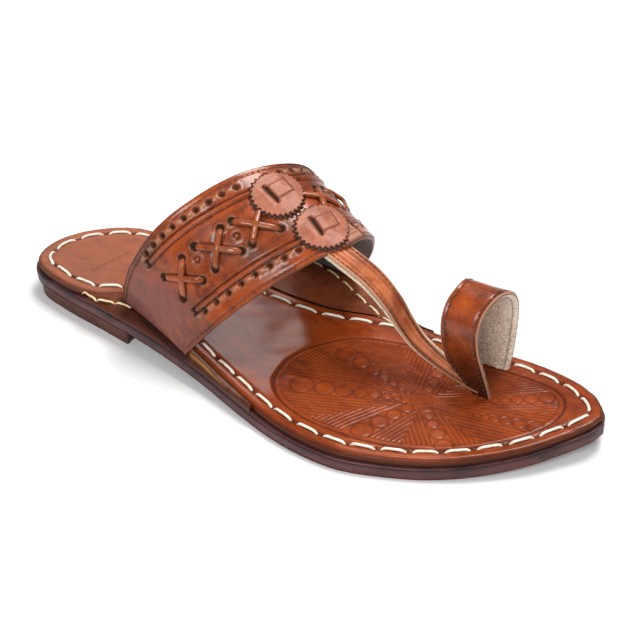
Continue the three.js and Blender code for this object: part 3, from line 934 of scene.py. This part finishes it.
def make_band():
    band = sheet_with_rim("instep_band", band_place, BAND_S, shares(150),
                          BAND_THICK - 0.5, UPPER, band_relief, 0.75, (0.42, 0.12, 0.2),
                          closed_back=False)
    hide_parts("upper")
    s, v = np.meshgrid(BAND_S[::4], shares(24), indexing="ij")
    depth = BAND_THICK - 0.55 + 0.5 * smooth(np.minimum(v, 1 - v) * 12)
    shade = 0.25 + 0.3 * smooth((0.5 - np.abs(v - 0.5)) * 4)
    lining = Parts()
    lining.grid(band_place(s, 0.008 + v * 0.984, -depth), tones(shade))
    lining.build("band_lining", LINING)
    laces = Parts()
    for _, s, v, over in lace_lines(26):

        def lift(u, over=over):
            t = 2 * u - 1
            return 0.35 + over * bump(t, 0.32) - 2.4 * np.abs(t) ** 7

        ribbon(laces, s, v, LACE_WIDTH, 1.0, lift)
    laces.build("band_laces", LACE, 70)
    beads = Parts()
    for at_s, at_v in DOTS:
        for side in (-1, 1):
            s = side * at_s + np.linspace(-0.9, 0.9, 9)
            ribbon(beads, s, at_v, 1.7, 0.7,
                   lambda u: -0.5 - 0.8 * np.abs(2 * u - 1) ** 4, around=7)
    beads.build("band_dots", LACE, 70)
    s = np.linspace(ARC[0] + 3, ARC[-1] - 3, 400)
    for label, share in BAND_SEAMS.items():
        fine_seam("band_seam_" + label, band_place, s, share, 0.12, 2.5, 1.7, 0.24, 0.15)


# ---- pinked discs ----
TEETH = 30
# centre s and v, turn of the tab in radians
DISCS = {"rosette_rear": (1.5, 0.335, -0.2), "rosette_front": (1.13, 0.773, -0.35)}
# name's ending, radius, height of its underside, thickness, leather, half depth of a tooth
DISC_LAYERS = [("_under", DISC_RADIUS + 0.15, 0.15, 0.75, DARK_EDGE, 0.7),
               ("", DISC_RADIUS - 0.5, 0.95, 1.15, DISC, 0.6)]
DISC_TAB = (2.0, -1.2, 3.9, 3.6)  # centre and half sizes of the raised tab


def disc_place(centre_s, centre_v, forward, sideways, height):
    """Point above the band at a distance forward and sideways of a disc's centre."""
    step_s, step_v = 0.5, 0.01
    centre = band_place(centre_s, centre_v, 0.0)
    per_s = (band_place(centre_s + step_s, centre_v, 0.0) - centre) / step_s
    per_v = (band_place(centre_s, centre_v + step_v, 0.0) - centre) / step_v
    ahead = unit(per_v)
    beside = unit(per_s - ahead * (per_s @ ahead))
    ds = sideways / (per_s @ beside)
    dv = (forward - ds * (per_s @ ahead)) / np.linalg.norm(per_v)
    return band_place(centre_s + ds, centre_v + dv, height)


def disc_tab(sideways, forward, turn):
    """Height and darkness of the woven tab on a disc: a raised square with a slit beside it."""
    tab_x, tab_y, half_x, half_y = DISC_TAB
    x = sideways * math.cos(turn) - forward * math.sin(turn) - tab_x
    y = forward * math.cos(turn) + sideways * math.sin(turn) - tab_y
    box = np.maximum(np.abs(x) / half_x, np.abs(y) / half_y)
    slit = bump(x + 4.7, 0.9) * (np.abs(y) < 5.2) + 0.5 * bump(x - 4.5, 0.4) * (np.abs(y) < 4.0)
    raised = 0.75 * smooth((1.12 - box) / 0.24) - 0.6 * slit
    grain = 0.09 * uneven(stacked(sideways, forward, 0.0), 5)
    # darkness: painted shade in the slit and along the raised tab's edge
    return raised + grain, 0.95 * slit + 0.35 * bump((box - 1.04) * 3.7, 0.5)


def make_disc(name):
    """Two pinked discs, one on the other, with the teeth of one over the gaps of the other."""
    centre_s, centre_v, turn = DISCS[name]
    rings = np.r_[np.linspace(0.02, 0.93, 34), 0.965, 0.985, 1.0]
    around = np.linspace(0, 2 * math.pi, 6 * TEETH + 1)[:-1]
    r, a = np.meshgrid(rings, around, indexing="ij")
    for label, radius, base, thick, material, tooth in DISC_LAYERS:
        is_under = bool(label)
        wave = np.abs(((a * TEETH / (2 * math.pi) + 0.5 * is_under) % 1) - 0.5) * 2
        rim = radius + tooth * (1 - 2 * wave)
        reach = r * (radius + (rim - radius) * smooth((r - 0.9) / 0.1))
        forward, sideways = reach * np.cos(a), reach * np.sin(a)
        top = base + thick - 0.45 * smooth((r - 0.93) / 0.07)
        dark = 0.75 * smooth((r - 0.95) / 0.04)
        pale = 0.0
        if not is_under:
            raised, shade = disc_tab(sideways, forward, turn)
            top, dark = top + raised, dark + shade
            pale = 0.12 * bump(r - 0.93, 0.03)
        parts = Parts()
        points = disc_place(centre_s, centre_v, forward, sideways, top)
        parts.grid(points, tones(dark, pale), wrap=True)
        foot = disc_place(centre_s, centre_v, forward[-1] * 0.995, sideways[-1] * 0.995, base - 0.2)
        parts.grid(np.stack([points[-1], foot]), (0.8, 0, 0), wrap=True)
        piece = parts.build(name + (label or "_disc"), material, 60)
        if not is_under:
            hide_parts(name)


# the stamped patch: its ends along the band, its rear edge and width as shares, its width
PATCH_S = (3.5, 13.5)
PATCH_V = (0.80, 0.19)
PATCH_WIDTH = 11
PATCH_LINES = 5


def make_stamped_tab():
    """Small stamped patch that holds the toe strap at the band's front edge."""
    s, w = np.meshgrid(np.linspace(*PATCH_S, 40), shares(50), indexing="ij")
    rim = np.minimum(np.minimum(s - PATCH_S[0], PATCH_S[1] - s), np.minimum(w, 1 - w) * PATCH_WIDTH)
    lines = bump(((w * PATCH_LINES) % 1) - 0.5, 0.16) * (rim > 1.6)
    height = 0.1 + 0.85 * smooth(rim / 0.9) - 0.28 * lines
    parts = Parts()
    parts.grid(band_place(s, PATCH_V[0] + w * PATCH_V[1], height),
               tones(0.5 * lines + 0.4 * bump(rim, 0.5), 0.25), flip=True)
    parts.build("stamped_tab", DISC, 60)


# ---- toe strap ----
def strap_place(u, v, lift):
    u, v, lift = np.broadcast_arrays(np.asarray(u, float), v, lift)
    line = curve(STRAP[:, :3], u)
    shape = curve(STRAP[:, 3:], u)
    step = 1e-3
    along = unit(curve(STRAP[:, :3], np.minimum(u + step, 1))
                 - curve(STRAP[:, :3], np.maximum(u - step, 0)))
    turn = np.radians(shape[..., 1])[..., None]
    right = np.zeros(along.shape)
    right[..., 0] = 1
    across = (right * np.cos(turn) + np.cross(along, right) * np.sin(turn)
              + along * (along * right).sum(-1, keepdims=True) * (1 - np.cos(turn)))
    across = unit(across - along * (across * along).sum(-1, keepdims=True))
    up = np.cross(across, along)
    return line + across * ((v - 0.5) * shape[..., 0])[..., None] + up * lift[..., None]


def strap_width(u):
    return curve(STRAP[:, 3:], u)[..., 0]


def make_strap():
    def relief(u, v):
        width = strap_width(u)
        x = (v - 0.5) * width
        rib = 0.35 * (bump(x - 1.1, 0.75) + bump(x + 1.1, 0.75))
        groove = bump(np.abs(x) - 2.6, 0.4) + bump(np.abs(x) - (width / 2 - 1.3), 0.35)
        points = strap_place(u, v, 0 * u)
        height = rib - 0.28 * groove + 0.08 * uneven(points, 8)
        # painted shade: darker in the grooves and towards the strap's lower end, where it runs down
        # into the ring
        dark = 0.42 * groove + 0.35 * smooth((u - 0.55) / 0.4)
        return height, tones(dark, 0.5 * bump(np.minimum(v, 1 - v) * width, 0.5) * (1 - u))

    def under_place(u, v, lift):
        return strap_place(u, 0.5 + (v - 0.5) * 1.1, lift - 1.5)

    sheet_with_rim("toe_strap", strap_place, np.linspace(0.02, 1, 190), shares(44),
                   STRAP_THICK * 0.55, STRAP_LEATHER, relief, 0.5, (0.15, 0.55, 0.3))
    sheet_with_rim("toe_strap_under", under_place, np.linspace(0.02, 1, 120), shares(8),
                   STRAP_THICK * 0.42, NAP, None, 0.4, (0.1, 0, 0))
    u = np.linspace(0.06, 0.97, 300)
    for label, side in (("medial", -1), ("lateral", 1)):
        v = 0.5 + side * (0.5 - 1.3 / strap_width(u))
        fine_seam("strap_seam_" + label, strap_place, u, v, 0.1, 2.3, 1.5, 0.22, 0.12)


# ---- toe ring ----
RING_FOOT = 4.5
RING_RUN = 100  # millimetres of foot for one unit of u beyond the ring's ends
RING_SEAM = 1.9  # from the edge


def ring_place(u, v, lift):
    u, v, lift = np.broadcast_arrays(np.asarray(u, float), v, lift)

    def face(at, share):
        row = curve(RING, at)
        y = row[..., 2] * (1 - share) + row[..., 3] * share
        return stacked(row[..., 0], y, row[..., 1])

    inside = np.clip(u, 0, 1)
    point = face(inside, v) + middle_normal(face, inside) * lift[..., None]
    point[..., 2] -= np.maximum(0, np.abs(u - 0.5) - 0.5) * RING_RUN
    return point


def ring_width(u):
    row = curve(RING, np.clip(u, 0, 1))
    return row[..., 3] - row[..., 2]


def make_ring():
    def relief(u, v):
        edge = np.minimum(v, 1 - v) * ring_width(u)
        points = ring_place(u, v, 0.0)
        seam = bump(edge - RING_SEAM, 0.5)
        height = 0.12 * uneven(points, 12) + 0.04 * uneven(points, 4) - 0.22 * seam
        # painted shade: darker in the seam groove and towards the sole, down the ring's legs; also
        # darker at its edges
        low = 1 - smooth((points[..., 2] - 16) / 28)
        return height, tones(0.28 * seam + 0.92 * low + 0.2 * bump(edge, 0.7))

    us = np.r_[-RING_FOOT / RING_RUN, shares(200), 1 + RING_FOOT / RING_RUN]
    sheet_with_rim("toe_ring", ring_place, us, shares(60), RING_THICK * 0.55, UPPER,
                   relief, 0.55, (0.05, 0.75, 0.5), closed_back=False)
    u, v = np.meshgrid(us, shares(44), indexing="ij")
    fuzz = RNG.normal(size=u.shape) * 0.14
    near = np.minimum(v, 1 - v) * ring_width(u)
    lift = -RING_THICK + 1.15 * bump(near, 0.5) + fuzz * smooth(near / 1.2)
    lining = Parts()
    lining.grid(ring_place(u, v, lift), tones(0.75 * bump(near - 2.0, 0.32)))
    lining.build("ring_lining", NAP, 180)
    u = np.linspace(0.02, 0.98, 400)
    share = RING_SEAM / ring_width(u)
    for label, v in (("rear", share), ("front", 1 - share)):
        fine_seam("ring_seam_" + label, ring_place, u, v, 0.1, 2.5, 1.6, 0.25, 0.15)


# ---- floor, lights and camera ----
# the camera looks at AIM from DISTANCE; lengths are in millimetres
AIM = np.array([-69.67, 140.20, 0.0])
AZIMUTH = math.radians(118.36)
ELEVATION = math.radians(35.79)
DISTANCE = 807.9
LENS = 82.09
SENSOR_WIDTH = 36
ZOOM = 1.22
OFF_CENTRE = (-0.09375, -0.0640625)  # shift of the lens in frame widths, before the zoom
# name, place, target, size, power and, if not white, colour; lengths are in metres
LIGHTS = [
    ("key_softbox", (-0.45, 0.1, 1.35), (0, 0, 0.02), (0.7, 0.6), 19, (1.0, 0.98, 0.95)),
    ("arch_strip", (-0.69, -0.35, 0.78), (0.02, -0.02, 0.01), (0.1, 0.12), 0.24),
    ("side_softbox", (1.1, 0.2, 0.9), (0, 0, 0.02), (0.6, 0.6), 12),
    ("toe_softbox", (0.1, 1.2, 0.8), (0, 0, 0.02), (0.8, 0.4), 3),
]
SKY_COLOUR = (0.95, 0.97, 1.0, 1)
SKY_STRENGTH = 0.28
FLOOR_REACH = 6.0


def make_camera():
    back = np.array([math.sin(AZIMUTH) * math.cos(ELEVATION),
                     -math.cos(AZIMUTH) * math.cos(ELEVATION), math.sin(ELEVATION)])
    data = bpy.data.cameras.new("camera")
    data.lens = LENS * ZOOM
    data.sensor_width = SENSOR_WIDTH
    data.shift_x, data.shift_y = OFF_CENTRE[0] * ZOOM, OFF_CENTRE[1] * ZOOM
    data.clip_start = 0.01
    camera = in_scene("camera", data)
    camera.location = placed(AIM + back * DISTANCE)
    camera.rotation_euler = Vector(-back).to_track_quat("-Z", "Y").to_euler()
    bpy.context.scene.camera = camera


def area_light(name, place, target, size, power, colour=(1, 1, 1)):
    data = bpy.data.lights.new(name, "AREA")
    data.shape = "RECTANGLE"
    data.size, data.size_y = size
    data.energy = power
    data.color = colour
    lamp = in_scene(name, data)
    lamp.location = place
    lamp.rotation_euler = (Vector(target) - Vector(place)).to_track_quat("-Z", "Y").to_euler()


def make_studio():
    m = Shader("floor_white")
    white = m.mix(m.ramp(m.noise(3, 2), 0.3, 0.7, 0, 0.15), (0.86, 0.86, 0.86), (0.82, 0.82, 0.82))
    m.surface({"Base Color": white, "Roughness": 0.6})
    mesh = bpy.data.meshes.new("floor")
    corners = np.array([(-1, -1, 0), (1, -1, 0), (1, 1, 0), (-1, 1, 0)]) * FLOOR_REACH
    mesh.from_pydata(corners.tolist(), [], [(0, 1, 2, 3)])
    mesh.materials.append(m.material)
    floor = in_scene("floor", mesh)
    world = bpy.data.worlds.new("studio")
    world.use_nodes = True
    sky = world.node_tree.nodes["Background"]
    sky.inputs[0].default_value = SKY_COLOUR
    sky.inputs[1].default_value = SKY_STRENGTH
    bpy.context.scene.world = world
    for light in LIGHTS:
        area_light(*light)
    bpy.context.scene.view_settings.view_transform = "Standard"


make_camera()
make_studio()
make_sole()
make_heel()
for side in EARS:
    make_ear(side)
make_band()
for name in DISCS:
    make_disc(name)
make_stamped_tab()
make_strap()
make_ring()
